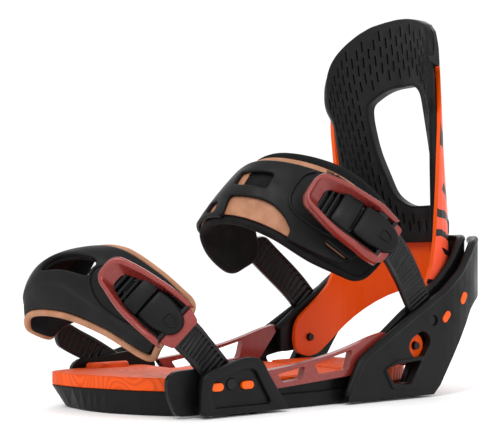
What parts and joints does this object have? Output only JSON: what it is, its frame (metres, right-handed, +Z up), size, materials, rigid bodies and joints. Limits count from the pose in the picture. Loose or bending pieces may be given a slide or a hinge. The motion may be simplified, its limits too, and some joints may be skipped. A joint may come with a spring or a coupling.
{
  "type": "strap-in snowboard binding",
  "caption": "Strap-in snowboard binding with a folding highback, a padded ankle strap and a toe cap strap, each drawn tight by a toothed ladder in a ratchet buckle.",
  "frame": {"origin": "centre of the mounting disc's bottom face, on the board's top surface", "axes": "+Z up from the board, -Y towards the toes, +Y towards the heel, +X towards the outer side of the foot, which has the ladders and buckles"},
  "size_m": [0.1308, 0.2914, 0.238],
  "materials": {
    "black_nylon": "glass-filled nylon, lightly grained",
    "black_ladder": "smooth flexible plastic",
    "black_rubber": "soft matt rubber with a grooved or pebbled face",
    "black_padding": "stitched padded textile",
    "orange_shell": "semi-matt plastic, coral with black strokes on the back",
    "orange_footbed": "dense foam with a flowing line texture",
    "orange_pin": "smooth orange plastic",
    "red_metal": "fine speckled dusty red",
    "tan_leather": "smooth tan synthetic leather",
    "steel": "zinc-plated steel"
  },
  "bodies": {
    "base": {"base_plate": "black_nylon", "toe_ramp": "black_nylon", "mounting_disc": "black_nylon", "disc_screw_1": "steel", "disc_screw_2": "steel", "disc_screw_3": "steel", "disc_screw_4": "steel", "toe_pad": "orange_footbed", "heel_pad": "orange_footbed", "disc_cover_pad": "orange_footbed", "outer_rail": "red_metal", "inner_rail": "red_metal", "outer_toe_block": "black_nylon", "inner_toe_block": "black_nylon", "outer_toe_pin_front": "orange_pin", "outer_toe_pin_rear": "orange_pin", "inner_toe_pin_front": "orange_pin", "inner_toe_pin_rear": "orange_pin", "heel_hoop": "black_nylon", "outer_heel_panel": "black_nylon", "inner_heel_panel": "black_nylon", "outer_heel_pin_lower": "orange_pin", "outer_heel_pin_upper": "orange_pin", "inner_heel_pin_lower": "orange_pin", "inner_heel_pin_upper": "orange_pin", "outer_pivot_bolt": "steel", "inner_pivot_bolt": "steel", "outer_ankle_bolt": "steel", "inner_ankle_bolt": "steel", "outer_toe_bolt": "steel", "inner_toe_bolt": "steel"},
    "highback": {"highback_shell": "orange_shell", "highback_pad": "black_rubber", "outer_pivot_boss": "orange_shell", "inner_pivot_boss": "orange_shell"},
    "lean_adjuster": {"forward_lean_block": "black_nylon", "forward_lean_lever": "red_metal"},
    "ankle_strap": {"ankle_pad": "black_padding", "ankle_tan_layer": "tan_leather", "ankle_exoskeleton": "black_rubber", "ankle_connector": "black_ladder", "ankle_buckle_base": "black_nylon", "ankle_buckle_axle": "steel"},
    "ankle_ladder_strap": {"ankle_ladder": "black_ladder"},
    "ankle_lever": {"ankle_buckle_lever": "red_metal", "ankle_drive_pawl": "steel"},
    "ankle_release": {"ankle_release_lever": "black_nylon"},
    "toe_strap": {"toe_strap_liner": "tan_leather", "toe_cap_shell": "black_rubber", "toe_connector": "black_ladder", "toe_buckle_base": "black_nylon", "toe_buckle_axle": "steel"},
    "toe_ladder_strap": {"toe_ladder": "black_ladder"},
    "toe_lever": {"toe_buckle_lever": "red_metal", "toe_drive_pawl": "steel"},
    "toe_release": {"toe_release_lever": "black_nylon"}
  },
  "joints": [
    {"name": "highback_fold", "type": "hinge", "parent": "base", "child": "highback", "pos_m": [0, 0.084, 0.031], "axis": [1, 0, 0], "range_deg": [0, 39]},
    {"name": "forward_lean_slide", "type": "slide", "parent": "highback", "child": "lean_adjuster", "axis": [0, 0, 1], "range_m": [0, 0.012]},
    {"name": "ankle_strap_swing", "type": "hinge", "parent": "base", "child": "ankle_strap", "pos_m": [0, 0.096, 0.046], "axis": [1, 0, 0], "range_deg": [0, 30]},
    {"name": "ankle_ladder_swing", "type": "hinge", "parent": "base", "child": "ankle_ladder_strap", "pos_m": [0, 0.096, 0.046], "axis": [1, 0, 0], "range_deg": [0, 30]},
    {"name": "ankle_lever_open", "type": "hinge", "parent": "ankle_strap", "child": "ankle_lever", "pos_m": [0.06138, 0.05653, 0.09884], "axis": [0.0018, 0.6332, 0.7739], "range_deg": [0, 75]},
    {"name": "ankle_release_press", "type": "hinge", "parent": "ankle_strap", "child": "ankle_release", "pos_m": [0.06138, 0.05653, 0.09884], "axis": [0.0018, 0.6332, 0.7739], "range_deg": [-20, 0], "stiffness_Nm_per_rad": 0.05},
    {"name": "toe_strap_swing", "type": "hinge", "parent": "base", "child": "toe_strap", "pos_m": [0, -0.058, 0.017], "axis": [1, 0, 0], "range_deg": [-40, 3]},
    {"name": "toe_ladder_swing", "type": "hinge", "parent": "base", "child": "toe_ladder_strap", "pos_m": [0, -0.058, 0.017], "axis": [1, 0, 0], "range_deg": [-40, 3]},
    {"name": "toe_lever_open", "type": "hinge", "parent": "toe_strap", "child": "toe_lever", "pos_m": [0.05658, -0.09516, 0.05177], "axis": [0.315, 0.5897, 0.7437], "range_deg": [0, 75]},
    {"name": "toe_release_press", "type": "hinge", "parent": "toe_strap", "child": "toe_release", "pos_m": [0.05658, -0.09516, 0.05177], "axis": [0.315, 0.5897, 0.7437], "range_deg": [-20, 0], "stiffness_Nm_per_rad": 0.05}
  ],
  "couplings": [
    {"joint": "ankle_strap_swing", "follows": "highback_fold", "ratio": 0.75},
    {"joint": "ankle_ladder_swing", "follows": "highback_fold", "ratio": 0.75},
    {"joint": "toe_ladder_swing", "follows": "toe_strap_swing", "ratio": 1}
  ]
}
